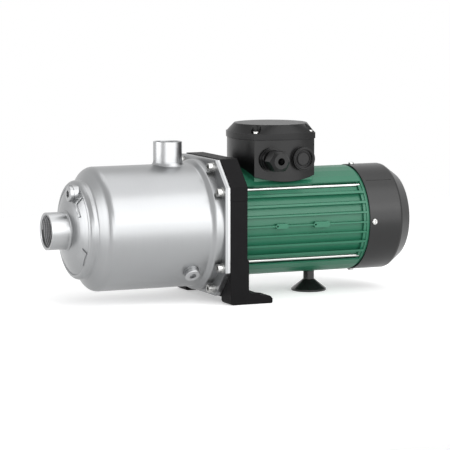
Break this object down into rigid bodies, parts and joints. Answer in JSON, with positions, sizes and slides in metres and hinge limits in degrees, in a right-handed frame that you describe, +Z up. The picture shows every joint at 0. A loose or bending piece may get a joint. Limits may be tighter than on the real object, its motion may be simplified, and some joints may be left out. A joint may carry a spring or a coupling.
{
  "type": "horizontal multistage centrifugal pump",
  "caption": "Horizontal close-coupled multistage centrifugal pump: stainless barrel with threaded ports, octagonal bracket, finned motor, fan cover and terminal box.",
  "frame": {"origin": "midway between the two foot bolt holes, on the base plane", "axes": "+X along the shaft towards the motor's fan end, +Z up along the discharge, +Y away from the side with the cable gland"},
  "size_m": [0.4605, 0.166, 0.2113],
  "materials": {
    "barrel_steel": "satin",
    "port_steel": "satin",
    "inner_steel": "satin",
    "zinc_steel": "semi-gloss",
    "bearing_steel": "polished",
    "motor_paint": "satin",
    "bracket_paint": "satin",
    "shield_aluminium": "as cast",
    "core_iron": "matte",
    "winding_copper": "varnished",
    "box_plastic": "matte",
    "lid_plastic": "matte",
    "cover_plastic": "matte",
    "fan_plastic": "matte",
    "rubber": "matte",
    "carbon": "lapped",
    "ceramic": "lapped",
    "white_polymer": "matte",
    "block_resin": "satin",
    "brass": "satin"
  },
  "bodies": {
    "frame": {"pump_barrel": "barrel_steel", "suction_nozzle": "port_steel", "discharge_nozzle": "port_steel", "plug_bosses": "port_steel", "casing_cover": "barrel_steel", "barrel_o_ring": "rubber", "inlet_ring": "inner_steel", "stage_casing_1": "inner_steel", "stage_casing_2": "inner_steel", "stage_casing_3": "inner_steel", "stage_casing_4": "inner_steel", "neck_rings": "white_polymer", "outlet_ring": "inner_steel", "seal_seat": "ceramic", "motor_bracket": "bracket_paint", "flange_screws": "zinc_steel", "flange_washers": "zinc_steel", "motor_housing": "motor_paint", "stator_core": "core_iron", "stator_windings": "winding_copper", "bearing_outer_rings": "bearing_steel", "rear_end_shield": "shield_aluminium", "wave_washer": "zinc_steel", "tie_rods": "zinc_steel", "fan_cover": "cover_plastic", "fan_cover_screws": "zinc_steel", "terminal_box": "box_plastic", "box_fixing_screws": "zinc_steel", "terminal_box_lid": "lid_plastic", "lid_gasket": "rubber", "lid_screws": "zinc_steel", "terminal_block": "block_resin", "terminal_studs": "brass", "gland_body": "box_plastic", "blind_plug": "box_plastic"},
    "rotor": {"shaft": "inner_steel", "impeller_1": "inner_steel", "impeller_2": "inner_steel", "impeller_3": "inner_steel", "impeller_4": "inner_steel", "spacer_sleeves": "inner_steel", "impeller_nut": "inner_steel", "seal_ring": "carbon", "seal_spring": "inner_steel", "seal_bellows": "rubber", "slinger": "rubber", "rotor_core": "core_iron", "rotor_cage": "shield_aluminium", "bearing_inner_rings": "bearing_steel", "fan": "fan_plastic", "fan_clip": "zinc_steel"},
    "bearing_balls": {"ball_cages": "bearing_steel"},
    "priming_seal": {"priming_o_ring": "rubber"},
    "priming_screw": {"priming_plug": "port_steel"},
    "drain_seal": {"drain_o_ring": "rubber"},
    "drain_screw": {"drain_plug": "port_steel"},
    "foot_pad": {"support_pad": "rubber"},
    "foot_stem": {"support_stud": "box_plastic"},
    "gland_ring": {"gland_seal": "rubber"},
    "gland_cap": {"gland_nut": "box_plastic"}
  },
  "joints": [
    {"name": "rotor_spin", "type": "hinge", "parent": "frame", "child": "rotor", "pos_m": [0, 0, 0.09], "axis": [1, 0, 0], "continuous": true},
    {"name": "bearing_balls_spin", "type": "hinge", "parent": "frame", "child": "bearing_balls", "pos_m": [0, 0, 0.09], "axis": [1, 0, 0], "continuous": true},
    {"name": "priming_plug_travel", "type": "slide", "parent": "frame", "child": "priming_seal", "axis": [-1, 0, 0], "range_m": [0, 0.0045]},
    {"name": "priming_plug_turn", "type": "hinge", "parent": "priming_seal", "child": "priming_screw", "pos_m": [-0.22, -0.014, 0.135], "axis": [-1, 0, 0], "range_deg": [0, 1080.1]},
    {"name": "drain_plug_travel", "type": "slide", "parent": "frame", "child": "drain_seal", "axis": [0, -0.7431, -0.6691], "range_m": [0, 0.0045]},
    {"name": "drain_plug_turn", "type": "hinge", "parent": "drain_seal", "child": "drain_screw", "pos_m": [-0.085, -0.05737, 0.03834], "axis": [0, -0.7431, -0.6691], "range_deg": [0, 1080.1]},
    {"name": "support_foot_travel", "type": "slide", "parent": "frame", "child": "foot_pad", "axis": [0, 0, -1], "range_m": [0, 0.00375]},
    {"name": "support_foot_turn", "type": "hinge", "parent": "foot_pad", "child": "foot_stem", "pos_m": [0.098, 0, 0.01], "axis": [0, 0, -1], "range_deg": [0, 1080.1]},
    {"name": "gland_nut_travel", "type": "slide", "parent": "frame", "child": "gland_ring", "axis": [0, -1, 0], "range_m": [0, 0.003]},
    {"name": "gland_nut_turn", "type": "hinge", "parent": "gland_ring", "child": "gland_cap", "pos_m": [0.023, -0.07, 0.1697], "axis": [0, -1, 0], "range_deg": [0, 720.1]}
  ],
  "couplings": [
    {"joint": "bearing_balls_spin", "follows": "rotor_spin", "ratio": 0.38176},
    {"joint": "priming_plug_turn", "follows": "priming_plug_travel", "rad_per_m": 4188.8},
    {"joint": "drain_plug_turn", "follows": "drain_plug_travel", "rad_per_m": 4188.8},
    {"joint": "support_foot_turn", "follows": "support_foot_travel", "rad_per_m": 5026.5},
    {"joint": "gland_nut_turn", "follows": "gland_nut_travel", "rad_per_m": 4188.8}
  ]
}
